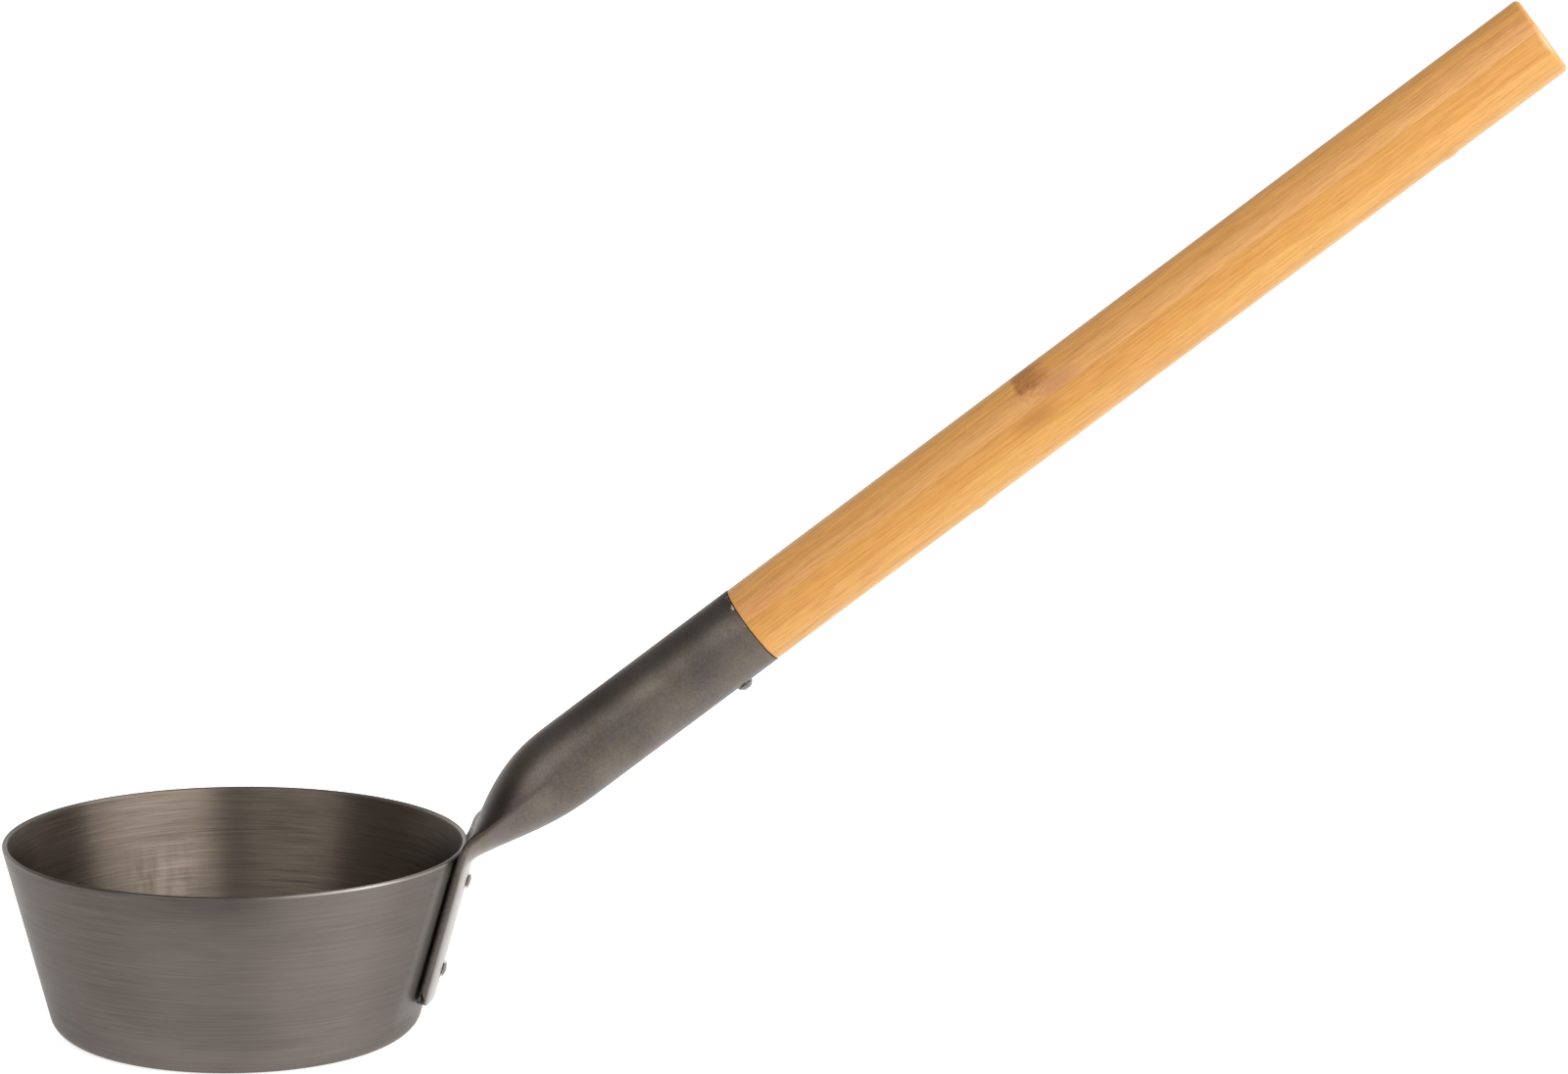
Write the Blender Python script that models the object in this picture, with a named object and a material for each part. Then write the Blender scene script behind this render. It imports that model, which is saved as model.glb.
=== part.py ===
"""A sauna ladle: a drawn steel cup, a steel tube pressed flat and riveted to it, and a bamboo grip.

Lengths are in metres. The cup stands on z = 0 with its axis on Z, and the handle rises towards +X.
The outer wall line of the cup on the handle's side is the generator, and the tube's pressed tab lies on it.
"""

import math

import bmesh
import bpy
import numpy as np
from mathutils import Matrix, Vector

MM = 0.001

# Cup
RIM_DIAMETER = 120 * MM
CUP_HEIGHT = 50 * MM
FOOT_DIAMETER = 94 * MM  # where the straight wall would reach the table
CUP_SHEET = 1.4 * MM
FOOT_RADIUS = 5.8 * MM  # outer radius between base and wall

# Tube, and the pressed end that forms the tab
TUBE_DIAMETER = 22 * MM
TUBE_WALL = 1 * MM
TUBE_RISE = math.radians(38.4)  # of the tube's axis above the table
TUBE_REACH = 90.1 * MM  # from the bend to the mouth, along the axis
BEND_ABOVE_RIM = 4.1 * MM  # along the wall
TAB_REACH = 45.1 * MM  # from the bend down to the pressed end
TAB_CORNER = 4 * MM
TAB_BOW = 1.9 * MM  # by which the tab's edges are drawn in towards the cup
BOW_FADE = 6  # how soon the bow goes as the tube grows round
PRESSED_SLIT = 0.2 * MM  # left open between the pressed walls
PRESS_RUN = 31.4 * MM  # from the bend to where the tube is round again
NOTCH_BELOW_BEND = 6.3 * MM  # inner corner between tab and underside
NOTCH_RADIUS = 3 * MM
UNDERSIDE_SPREAD = math.radians(13)  # of the underside below the tube's axis
FOLD_CORNER = 12 * MM  # radius of the fold line at the bend
FOLD_EASE = 0.1  # growth of the fold radius with the section's height

# How far the pressed faces run straight before they ease into the next, as shares of their reach
UPPER_FACE_RUN = 0.93
UPPER_TUBE_RUN = 0.48
UNDERSIDE_RUN = 0.45
UNDER_TUBE_RUN = 0.2

# Bamboo grip
GRIP_LENGTH = 249 * MM  # outside the tube, on the axis
TENON_LENGTH = 45 * MM  # inside the tube
FLUSH_STEP = 0.1 * MM  # by which the grip lies under the tube's surface
GRIP_END_RADIUS = 1.4 * MM
GRIP_END_SKEW = math.radians(4.8)  # the end is sawn a little out of square, shorter on the side of -Y
SHOULDER_CHAMFER = 0.4 * MM
STRIP_THICKNESS = 5.4 * MM
GLUE_LINE = 0.12 * MM

# Rivets
RIVET_SHANK = 3 * MM
RIVET_HEAD = 4.8 * MM
RIVET_DOME = 0.8 * MM  # height of the head outside
RIVET_INNER_HEAD = 6 * MM
RIVET_INNER_DOME = 1 * MM
UPPER_RIVET_BELOW_RIM = 9.4 * MM  # along the wall
RIVET_PITCH = 24.6 * MM

# Handle screw
SCREW_FROM_MOUTH = 10.9 * MM
SCREW_HEAD = 4.6 * MM
SCREW_HEAD_HEIGHT = 1.5 * MM
SCREW_SHANK = 2.6 * MM
SCREW_LENGTH = 12.5 * MM  # under the head
SCREW_POINT = 3 * MM
DRIVE_WIDTH = 0.7 * MM
DRIVE_SPAN = 2.6 * MM
DRIVE_DEPTH = 0.9 * MM

# Fits
SEAT_GAP = 0.2 * MM  # between pieces that bear on each other
BORE_GAP = 0.2 * MM  # around a shank or a tenon

# Facets
CUP_STEPS = 72
GRIP_STEPS = 60
SHANK_STEPS = 16
HALF_SECTION_STEPS = 22
PRESS_STATIONS = 12
NOTCH_STATIONS = 4
ARC_STEPS = 6
DENSE = 401  # points on a line that others are read from
HALVINGS = 40  # steps in the search for a width
SAME_POINT = 0.001 * MM
SHARP_ANGLE = math.radians(35)

# Worked out from the sizes above, in the plane y = 0 as (x, z)
rim_radius = RIM_DIAMETER / 2
tube_radius = TUBE_DIAMETER / 2
grip_radius = tube_radius - FLUSH_STEP
tenon_radius = tube_radius - TUBE_WALL - BORE_GAP
tab_thickness = 2 * TUBE_WALL + PRESSED_SLIT
tab_half = tab_thickness / 2
lip = CUP_SHEET / 2
lip_centre = np.array([rim_radius - lip, CUP_HEIGHT - lip])
to_lip = lip_centre - (FOOT_DIAMETER / 2, 0)
wall_lean = math.atan2(*to_lip) + math.asin(lip / np.linalg.norm(to_lip))
up_wall = np.array([math.sin(wall_lean), math.cos(wall_lean)])
off_wall = np.array([math.cos(wall_lean), -math.sin(wall_lean)])
along_tube = np.array([math.cos(TUBE_RISE), math.sin(TUBE_RISE)])
above_tube = np.array([-math.sin(TUBE_RISE), math.cos(TUBE_RISE)])
rim_point = np.array([FOOT_DIAMETER / 2 + CUP_HEIGHT * math.tan(wall_lean), CUP_HEIGHT])
bend = rim_point + up_wall * BEND_ABOVE_RIM + off_wall * (SEAT_GAP + tab_half)
mouth = bend + along_tube * TUBE_REACH


def clear_scene():
    for obj in list(bpy.data.objects):
        bpy.data.objects.remove(obj, do_unlink=True)


def finish(name, colour, roughness, metallic):
    made = bpy.data.materials.new(name)
    made.use_nodes = True
    shader = made.node_tree.nodes["Principled BSDF"]
    shader.inputs["Base Color"].default_value = (*colour, 1)
    shader.inputs["Roughness"].default_value = roughness
    shader.inputs["Metallic"].default_value = metallic
    return made


def add(name, mesh, surface=None, frame=None, place=Matrix()):
    """A named object from a mesh. Without a surface it is a cutter, which isn't part of the ladle."""
    obj = bpy.data.objects.new(name, mesh)
    bpy.context.scene.collection.objects.link(obj)
    obj.parent = frame
    obj.matrix_local = place
    if surface:
        if not mesh.materials:
            mesh.materials.append(surface)
        mesh.shade_smooth()
        mesh.set_sharp_from_angle(angle=SHARP_ANGLE)
    else:
        obj.hide_render = True
        obj.display_type = "WIRE"
    return obj


def add_frame(name, place):
    """An empty that carries pieces sharing one direction."""
    frame = bpy.data.objects.new(name, None)
    bpy.context.scene.collection.objects.link(frame)
    frame.matrix_world = place
    return frame


def plane_frame(point, x_axis, z_axis):
    """A frame at a point of the plane y = 0, with its X and Z axes in that plane."""
    x = Vector((x_axis[0], 0, x_axis[1]))
    z = Vector((z_axis[0], 0, z_axis[1]))
    y = z.cross(x)
    turn = Matrix((x, y, z)).transposed().to_4x4()
    return Matrix.Translation((point[0], 0, point[1])) @ turn


def cut(obj, cutter, operation="DIFFERENCE"):
    made = obj.modifiers.new(cutter.name, "BOOLEAN")
    made.operation = operation
    made.solver = "EXACT"
    made.object = cutter


def mesh_from(bm, name):
    bmesh.ops.recalc_face_normals(bm, faces=bm.faces)
    mesh = bpy.data.meshes.new(name)
    bm.to_mesh(mesh)
    bm.free()
    return mesh


def turned(name, profile, steps):
    """A profile of (radius, z) points, from axis to axis, turned about Z."""
    bm = bmesh.new()
    points = [bm.verts.new((radius, 0, z)) for radius, z in profile]
    lines = [bm.edges.new(pair) for pair in zip(points, points[1:])]
    bmesh.ops.spin(
        bm, geom=points + lines, cent=(0, 0, 0), axis=(0, 0, 1), angle=2 * math.pi, steps=steps
    )
    bmesh.ops.remove_doubles(bm, verts=bm.verts, dist=SAME_POINT)
    return mesh_from(bm, name)


def rod(name, radius, low, high):
    """A plain cylinder along Z, whose facets and not its edges face the plane y = 0."""
    mesh = turned(name, [(0, high), (radius, high), (radius, low), (0, low)], SHANK_STEPS)
    mesh.transform(Matrix.Rotation(math.pi / SHANK_STEPS, 4, "Z"))
    return mesh


def block(name, low, high):
    bm = bmesh.new()
    bmesh.ops.create_cube(bm, size=1)
    middle = [(a + b) / 2 for a, b in zip(low, high)]
    sides = [b - a for a, b in zip(low, high)]
    bmesh.ops.transform(bm, matrix=Matrix.LocRotScale(middle, None, sides), verts=bm.verts)
    return mesh_from(bm, name)


def arc(centre, radius, start, end, steps=ARC_STEPS):
    """Points on an arc, with angles from the first axis of the plane."""
    angles = np.linspace(start, end, steps + 1)
    return [(centre[0] + radius * math.cos(a), centre[1] + radius * math.sin(a)) for a in angles]


def dome(radius, height, base, steps=ARC_STEPS):
    """A cap of a sphere that stands on z = base, from its edge to its top."""
    ball = (radius**2 + height**2) / (2 * height)
    edge = math.acos(radius / ball)
    return arc((0, base + height - ball), ball, edge, math.pi / 2, steps)


def bezier(start, start_pull, end_pull, end, t):
    """Points of a cubic curve, as rows, for an array of parameters."""
    t = np.asarray(t)[:, None]
    first, second = start + start_pull, end - end_pull
    return (1 - t) ** 3 * start + 3 * t * (1 - t) ** 2 * first + 3 * t**2 * (1 - t) * second + t**3 * end


def rounded_corner(corner, arriving, leaving, radius, t):
    """An arc that turns from one direction of travel into another."""
    turn = math.acos(arriving @ leaving)
    back = radius * math.tan(turn / 2)
    pull = radius * 4 / 3 * math.tan(turn / 4)
    return bezier(corner - arriving * back, arriving * pull, leaving * pull, corner + leaving * back, t)


def on_wall(down, outward):
    """A point at a distance down the wall from the rim, and outward from the generator."""
    return rim_point - up_wall * down + off_wall * outward


def make_cup(surface):
    """Flat base, rounded foot, straight flared wall and a rounded rim, in one sheet thickness."""
    foot_x = FOOT_DIAMETER / 2

    def wall_side(inset, radius):
        # The fillet touches the base plane and the wall line, both moved in by the inset.
        centre_z = inset + radius
        wall_x = foot_x + centre_z * math.tan(wall_lean) - inset / math.cos(wall_lean)
        centre = (wall_x - radius / math.cos(wall_lean), centre_z)
        return arc(centre, radius, -math.pi / 2, -wall_lean)

    outside = wall_side(0, FOOT_RADIUS)
    inside = wall_side(CUP_SHEET, FOOT_RADIUS - CUP_SHEET)
    rim = arc(lip_centre, lip, -wall_lean, math.pi - wall_lean)
    profile = [(0, 0), *outside, *rim, *reversed(inside), (0, CUP_SHEET)]
    return add("cup", turned("cup", profile, CUP_STEPS), surface)


def lens_half(width, height, sharpness):
    """The upper half of a lens: a half ellipse at sharpness 1, a parabola with pointed tips at 2."""
    turn = np.linspace(0, math.pi, DENSE)
    return width * np.cos(turn), height * np.sin(turn) ** sharpness


def lens_length(width, height, sharpness):
    across, above = lens_half(width, height, sharpness)
    return np.hypot(np.diff(across), np.diff(above)).sum()


def pressed_half_width(top, bottom, fold, sharpness):
    """Half the width of a pressed section, whose wall keeps the length it had in the round tube."""
    wall_length = math.pi * (TUBE_DIAMETER - TUBE_WALL)
    lens = wall_length - 2 * math.pi * (fold - TUBE_WALL / 2)
    low, high = 0.0, wall_length
    for _ in range(HALVINGS):
        core = (low + high) / 2
        outline = lens_length(core, top - fold, sharpness) + lens_length(core, bottom - fold, sharpness)
        if outline > lens:
            high = core
        else:
            low = core
    return core + fold


def half_section(width, height, fold, sharpness):
    """From one fold over the face to the other: a half lens moved outward by the fold radius.

    Points are spaced half by length and half by turning, so that tight folds stay round.
    """
    across, above = lens_half(width - fold, height - fold, sharpness)
    turn = np.arctan2(-np.gradient(across), np.gradient(above))
    near = np.linspace(0, turn[0], DENSE, endpoint=False)
    far = np.linspace(math.pi, turn[-1], DENSE, endpoint=False)[::-1]
    turn = np.concatenate([near, turn, far])
    across = np.pad(across, DENSE, mode="edge") + fold * np.cos(turn)
    above = np.pad(above, DENSE, mode="edge") + fold * np.sin(turn)
    length = np.concatenate([[0], np.cumsum(np.hypot(np.diff(across), np.diff(above)))])
    share = length / length[-1] / 2 + turn / math.pi / 2
    wanted = np.linspace(0, 1, HALF_SECTION_STEPS + 1)
    return np.interp(wanted, share, across), np.interp(wanted, share, above)


def fold_line():
    """The line of the folds: up the middle of the tab, round the bend and along the tube's axis."""
    corner = rounded_corner(bend, up_wall, along_tube, FOLD_CORNER, np.linspace(0, 1, DENSE))
    below_tab, past_mouth = bend - up_wall * 2 * TAB_REACH, bend + along_tube * 2 * TUBE_REACH
    return np.vstack([below_tab, corner, past_mouth])


def meet(line, top, bottom):
    """Where a line of points crosses the line through a section's top and bottom."""
    normal = np.array([-(top - bottom)[1], (top - bottom)[0]])
    side = (line - bottom) @ normal
    after = int(np.argmax(side[:-1] * side[1:] <= 0)) + 1
    share = side[after - 1] / (side[after - 1] - side[after])
    return line[after - 1] + share * (line[after] - line[after - 1])


def socket_stations():
    """Top and bottom points of the tube's sections, from the pressed end to the mouth."""
    underside = TUBE_RISE - UNDERSIDE_SPREAD
    along_underside = np.array([math.cos(underside), math.sin(underside)])
    notch = bend + off_wall * tab_half - up_wall * NOTCH_BELOW_BEND
    notch_part = np.linspace(0, 1, NOTCH_STATIONS + 1)
    notch_arc = rounded_corner(notch, up_wall, along_underside, NOTCH_RADIUS, notch_part)
    notch_low, notch_high = notch_arc[0], notch_arc[-1]
    round_again = bend + along_tube * PRESS_RUN
    tube_top = round_again + above_tube * tube_radius
    tube_bottom = round_again - above_tube * tube_radius
    tab_top = notch_low - off_wall * tab_thickness

    # The upper face runs on from the tab and eases into the tube, without a corner.
    reach = np.linalg.solve(np.column_stack([up_wall, along_tube]), tube_top - tab_top)
    face_pull = up_wall * reach[0] * UPPER_FACE_RUN
    tube_pull = along_tube * reach[1] * UPPER_TUBE_RUN
    rise = np.linspace(0, 1, DENSE)
    upper_line = bezier(tab_top, face_pull, tube_pull, tube_top, rise)
    run = np.linspace(0, 1, PRESS_STATIONS + 1)
    under_span = np.linalg.norm(tube_bottom - notch_high)
    notch_pull = along_underside * under_span * UNDERSIDE_RUN
    under_pull = along_tube * under_span * UNDER_TUBE_RUN
    under = bezier(notch_high, notch_pull, under_pull, tube_bottom, run)
    # The upper points above the notch are those square across the tube from it.
    square = (upper_line - notch_high) @ along_tube
    first = rise[int(np.argmin(np.abs(square)))]
    over_notch = bezier(tab_top, face_pull, tube_pull, tube_top, notch_part * first)
    over = bezier(tab_top, face_pull, tube_pull, tube_top, first + run * (1 - first))

    tab_end = bend - up_wall * TAB_REACH
    ends = [(tab_end - off_wall * tab_half, tab_end + off_wall * tab_half)]
    pressed = list(zip(over_notch, notch_arc)) + list(zip(over[1:], under[1:]))
    tube = [
        (bend + along_tube * q + above_tube * tube_radius, bend + along_tube * q - above_tube * tube_radius)
        for q in ((PRESS_RUN + TUBE_REACH) / 2, TUBE_REACH)
    ]
    return ends + pressed + tube


def socket_ring(top, bottom, line, inset):
    """One closed section: the upper half from the near fold to the far one, and the lower half back."""
    fold_point = meet(line, top, bottom)
    upward, downward = top - fold_point, bottom - fold_point
    high, deep = np.linalg.norm(upward), np.linalg.norm(downward)
    least = min(high, deep) - tab_half
    roundness = min(max(least / (tube_radius - tab_half), 0), 1)  # 0 on the tab, 1 on the tube
    fold, sharpness = tab_half + FOLD_EASE * least, 2 - roundness**2
    width = pressed_half_width(high, deep, fold, sharpness)
    points = []
    for reach, direction, turn in ((high, upward / high, 1), (deep, downward / deep, -1)):
        across, above = half_section(width - inset, reach - inset, fold - inset, sharpness)
        for side, rise in zip(across[:-1] * turn, above[:-1]):
            bow = TAB_BOW * (1 - roundness) ** BOW_FADE * (side / width) ** 2
            place = fold_point + direction * rise + upward / high * bow
            points.append((place[0], side, place[1]))
    return points


def make_socket(surface):
    """The tube as one folded wall: outer and inner skins through all stations, joined at both ends."""
    line = fold_line()
    bm = bmesh.new()
    skins = []
    for inset in (0, TUBE_WALL):
        rings = [socket_ring(top, bottom, line, inset) for top, bottom in socket_stations()]
        skins.append([[bm.verts.new(point) for point in ring] for ring in rings])
    outer, inner = skins
    pairs = list(zip(outer, outer[1:])) + list(zip(inner, inner[1:]))
    pairs += [(outer[0], inner[0]), (outer[-1], inner[-1])]
    for one, two in pairs:
        for i in range(len(one)):
            bm.faces.new((one[i - 1], one[i], two[i], two[i - 1]))
    socket = add("handle_socket", mesh_from(bm, "handle_socket"), surface)

    # The two corners of the pressed end are rounded off.
    flat_width = pressed_half_width(tab_half, tab_half, tab_half, 2)
    tab_frame = add_frame("tab_end", plane_frame(bend - up_wall * TAB_REACH, off_wall, up_wall))
    for side, name in ((-1, "near"), (1, "far")):
        middle = (flat_width - TAB_CORNER, TAB_CORNER)
        edge = arc(middle, TAB_CORNER, -math.pi / 2, 0)
        outline = [*edge, (2 * flat_width, TAB_CORNER), (2 * flat_width, -TAB_CORNER)]
        outline += [(flat_width - TAB_CORNER, -TAB_CORNER)]
        bm = bmesh.new()
        face = bm.faces.new([bm.verts.new((-tab_thickness, side * y, z)) for y, z in outline])
        grown = bmesh.ops.extrude_face_region(bm, geom=[face])
        moved = [item for item in grown["geom"] if isinstance(item, bmesh.types.BMVert)]
        bmesh.ops.translate(bm, verts=moved, vec=(2 * tab_thickness, 0, 0))
        cut(socket, add(f"tab_corner_{name}", mesh_from(bm, "tab_corner"), None, tab_frame))
    return socket


def make_rivets(surface, cup, socket):
    """Two solid rivets square to the cup wall, headed on both sides, and their holes."""
    outer_seat = SEAT_GAP + tab_thickness + SEAT_GAP
    bulge = RIVET_INNER_HEAD**2 / 8 / (FOOT_DIAMETER / 2)  # of the curved wall behind a flat head
    inner_seat = -CUP_SHEET - SEAT_GAP - bulge
    shank = RIVET_SHANK / 2
    inside = [(r, -z) for r, z in dome(RIVET_INNER_HEAD / 2, RIVET_INNER_DOME, -inner_seat)]
    outside = dome(RIVET_HEAD / 2, RIVET_DOME, outer_seat)
    profile = [*reversed(inside), (shank, inner_seat), (shank, outer_seat), *outside]
    body = turned("cup_rivet", profile, SHANK_STEPS)
    hole = rod("rivet_hole", shank + BORE_GAP, 2 * inner_seat, 2 * outer_seat)
    for name, down in (
        ("upper", UPPER_RIVET_BELOW_RIM),
        ("lower", UPPER_RIVET_BELOW_RIM + RIVET_PITCH),
    ):
        seat = add_frame(f"rivet_seat_{name}", plane_frame(on_wall(down, 0), up_wall, off_wall))
        add(f"cup_rivet_{name}", body, surface, seat)
        cutter = add(f"rivet_hole_{name}", hole, None, seat)
        cut(cup, cutter)
        cut(socket, cutter)


def make_grip(surface, frame):
    """Five bamboo strips glued in a stack and turned round, with a tenon for the tube."""
    shoulder = SEAT_GAP
    end = shoulder + GRIP_LENGTH
    round_end = arc((grip_radius - GRIP_END_RADIUS, end - GRIP_END_RADIUS), GRIP_END_RADIUS, math.pi / 2, 0)
    profile = [
        (0, end),
        *round_end,
        (grip_radius, shoulder + SHOULDER_CHAMFER),
        (grip_radius - SHOULDER_CHAMFER, shoulder),
        (tenon_radius, shoulder),
        (tenon_radius, SHOULDER_CHAMFER - TENON_LENGTH),
        (tenon_radius - SHOULDER_CHAMFER, -TENON_LENGTH),
        (0, -TENON_LENGTH),
    ]
    blank = turned("grip_blank", profile, GRIP_STEPS)
    for point in blank.vertices:
        if point.co.z > end - GRIP_END_RADIUS - SAME_POINT:
            point.co.z -= point.co.y * math.tan(GRIP_END_SKEW)
    beyond = 2 * TUBE_DIAMETER
    joints = [-beyond, *(STRIP_THICKNESS * k for k in (-1.5, -0.5, 0.5, 1.5)), beyond]
    strips = {}
    for name, low, high in zip(("bottom", "lower", "core", "upper", "top"), joints, joints[1:]):
        strip = add(f"handle_{name}_strip", blank, surface, frame)
        corner = (low + GLUE_LINE / 2, -beyond, -beyond)
        far_corner = (high - GLUE_LINE / 2, beyond, end + beyond)
        cut(strip, add(f"{name}_layer", block(f"{name}_layer", corner, far_corner), None, frame), "INTERSECT")
        strips[name] = strip
    return strips


def make_screw(surface, frame, drilled):
    """A round-head wood screw, driven square into the tube's underside, and its holes."""
    shank = SCREW_SHANK / 2
    head = dome(SCREW_HEAD / 2, SCREW_HEAD_HEIGHT, 0)
    profile = [(0, -SCREW_LENGTH), (shank, SCREW_POINT - SCREW_LENGTH), (shank, 0), *head]
    place = plane_frame((-tube_radius - SEAT_GAP, -SCREW_FROM_MOUTH), (0, 1), (-1, 0))
    screw = add("handle_screw", turned("handle_screw", profile, SHANK_STEPS), surface, frame, place)
    for name, half_x, half_y in (
        ("drive_along", DRIVE_SPAN / 2, DRIVE_WIDTH / 2),
        ("drive_across", DRIVE_WIDTH / 2, DRIVE_SPAN / 2),
    ):
        low = (-half_x, -half_y, SCREW_HEAD_HEIGHT - DRIVE_DEPTH)
        high = (half_x, half_y, 2 * SCREW_HEAD_HEIGHT)
        cut(screw, add(name, block(name, low, high), None, frame, place))
    hole = rod("screw_hole", shank + BORE_GAP, -SCREW_LENGTH - BORE_GAP, SCREW_HEAD_HEIGHT)
    cutter = add("screw_hole", hole, None, frame, place)
    for piece in drilled:
        cut(piece, cutter)


clear_scene()
dark_steel = finish("dark_brushed_steel", (0.135, 0.117, 0.1), 0.38, 1)
tube_steel = finish("dark_tube_steel", (0.147, 0.128, 0.111), 0.32, 1)
bright_steel = finish("rivet_steel", (0.2, 0.19, 0.18), 0.3, 1)
bamboo = finish("bamboo", (0.73, 0.38, 0.125), 0.45, 0)

cup_piece = make_cup(dark_steel)
socket_piece = make_socket(tube_steel)
make_rivets(bright_steel, cup_piece, socket_piece)
grip_frame = add_frame("grip_axis", plane_frame(mouth, above_tube, along_tube))
strip_pieces = make_grip(bamboo, grip_frame)
bored = [socket_piece, strip_pieces["bottom"], strip_pieces["lower"], strip_pieces["core"]]
make_screw(bright_steel, grip_frame, bored)
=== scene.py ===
"""The looks of a sauna ladle: a brushed steel cup, a pressed steel tube and a laminated bamboo grip."""

import math

import bmesh
import bpy
import numpy as np
from mathutils import Matrix, Vector


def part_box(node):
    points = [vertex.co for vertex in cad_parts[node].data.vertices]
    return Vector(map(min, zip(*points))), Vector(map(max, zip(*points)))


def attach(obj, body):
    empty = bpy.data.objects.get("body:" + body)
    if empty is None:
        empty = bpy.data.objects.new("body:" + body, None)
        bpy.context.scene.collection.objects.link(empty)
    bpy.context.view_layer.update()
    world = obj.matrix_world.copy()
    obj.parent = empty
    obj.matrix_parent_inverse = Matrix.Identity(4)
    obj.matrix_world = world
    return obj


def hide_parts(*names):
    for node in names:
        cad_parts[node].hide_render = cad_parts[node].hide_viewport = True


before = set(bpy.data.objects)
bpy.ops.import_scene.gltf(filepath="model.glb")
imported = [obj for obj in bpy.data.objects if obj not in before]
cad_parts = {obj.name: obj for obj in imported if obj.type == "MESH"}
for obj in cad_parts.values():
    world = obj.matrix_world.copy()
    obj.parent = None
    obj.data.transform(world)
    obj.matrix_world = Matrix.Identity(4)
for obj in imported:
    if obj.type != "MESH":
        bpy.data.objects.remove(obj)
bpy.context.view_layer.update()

# The cup is one round of steel sheet, spun over a former to a flat base, a round foot and a flared wall.
# Its rim is only rounded off. The dark steel is brushed while it turns, so fine lines run round it.
# The lip has a painted highlight in places, painted shade darkens the wall beside the tab and under the
# front of the rim, the inside is painted warmer and darker, and pale streaks lie on the inside of the back
# wall.
mm = 0.001
rim_radius = 60 * mm
cup_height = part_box("cup")[1].z
wall_foot = 47 * mm  # radius where the straight wall would reach the table
cup_sheet = 1.4 * mm
foot_fillet = 5.8 * mm
flat_border = 1.5 * mm  # ring of the base and floor that meets the foot
cup_sides = 256
foot_steps = 12
lip_steps = 6
lip_share = 0.98  # of half the sheet that the lip is rounded by
same_place = 0.01 * mm
crease = math.radians(35)  # sharper edges than this stay sharp

lip = cup_sheet / 2
lip_centre = np.array([rim_radius - lip, cup_height - lip])
foot_to_lip = lip_centre - (wall_foot, 0)
wall_lean = math.atan2(*foot_to_lip) + math.asin(lip / np.linalg.norm(foot_to_lip))
up_wall = np.array([math.sin(wall_lean), math.cos(wall_lean)])
off_wall = np.array([math.cos(wall_lean), -math.sin(wall_lean)])
wall_top = lip_centre + lip * (up_wall + off_wall)
wall_opening = wall_top[0] / wall_foot
foot_offset = foot_fillet * math.tan((math.pi / 2 - wall_lean) / 2)


def pick(piece, kind, wanted):
    """In edit mode, selects only the verts, edges or faces that pass a test."""
    bpy.ops.mesh.select_mode(type={"verts": "VERT", "edges": "EDGE", "faces": "FACE"}[kind])
    bpy.ops.mesh.select_all(action="DESELECT")
    mesh = bmesh.from_edit_mesh(piece.data)
    for item in getattr(mesh, kind):
        if wanted(item):
            item.select_set(True)
    bmesh.update_edit_mesh(piece.data)


def apply_modifier(piece, kind, **settings):
    bpy.context.view_layer.objects.active = piece
    bpy.ops.object.modifier_add(type=kind)
    made = piece.modifiers[-1]
    for name, value in settings.items():
        setattr(made, name, value)
    bpy.ops.object.modifier_apply(modifier=made.name)


def select_only(piece):
    bpy.ops.object.select_all(action="DESELECT")
    piece.select_set(True)
    bpy.context.view_layer.objects.active = piece


bpy.ops.object.select_all(action="DESELECT")
bpy.ops.mesh.primitive_circle_add(vertices=cup_sides, radius=wall_foot, fill_type="NGON")
cup = bpy.context.object
cup.name = "cup_shell"
bpy.ops.object.mode_set(mode="EDIT")
bpy.ops.mesh.flip_normals()
pick(cup, "edges", lambda edge: True)
bpy.ops.mesh.extrude_edges_move(TRANSFORM_OT_translate={"value": (0, 0, wall_top[1])})
bpy.ops.transform.resize(value=(wall_opening, wall_opening, 1), center_override=(0, 0, 0))
pick(cup, "edges", lambda edge: max(end.co.z for end in edge.verts) < same_place)
bpy.ops.mesh.bevel(offset=foot_offset, segments=foot_steps)
bpy.ops.object.mode_set(mode="OBJECT")
apply_modifier(cup, "SOLIDIFY", thickness=cup_sheet, offset=-1, use_even_offset=True)

bpy.ops.object.mode_set(mode="EDIT")
pick(cup, "edges", lambda edge: (
    min(end.co.z for end in edge.verts) > cup_height - cup_sheet
    and abs(edge.verts[0].co.z - edge.verts[1].co.z) < same_place
))
bpy.ops.mesh.bevel(offset=lip * lip_share, segments=lip_steps)
pick(cup, "faces", lambda face: len(face.verts) == cup_sides)
bpy.ops.mesh.inset(thickness=flat_border)
bpy.ops.object.mode_set(mode="OBJECT")


def add_node(tree, kind, inputs=None, **settings):
    """Adds a node with its settings, and gives its inputs a value or another node's output."""
    made = tree.nodes.new(kind)
    for name, value in settings.items():
        setattr(made, name, value)
    for name, value in (inputs or {}).items():
        if isinstance(value, bpy.types.NodeSocket):
            tree.links.new(value, made.inputs[name])
        else:
            made.inputs[name].default_value = value
    return made


def arithmetic(tree, operation, first, second=0):
    return add_node(tree, "ShaderNodeMath", {0: first, 1: second}, operation=operation).outputs[0]


def product(tree, first, *others):
    for other in others:
        first = arithmetic(tree, "MULTIPLY", first, other)
    return first


def vector_math(tree, operation, *vectors):
    return add_node(tree, "ShaderNodeVectorMath", dict(enumerate(vectors)), operation=operation).outputs


def vector_length(tree, vector):
    return vector_math(tree, "LENGTH", vector)["Value"]


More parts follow.
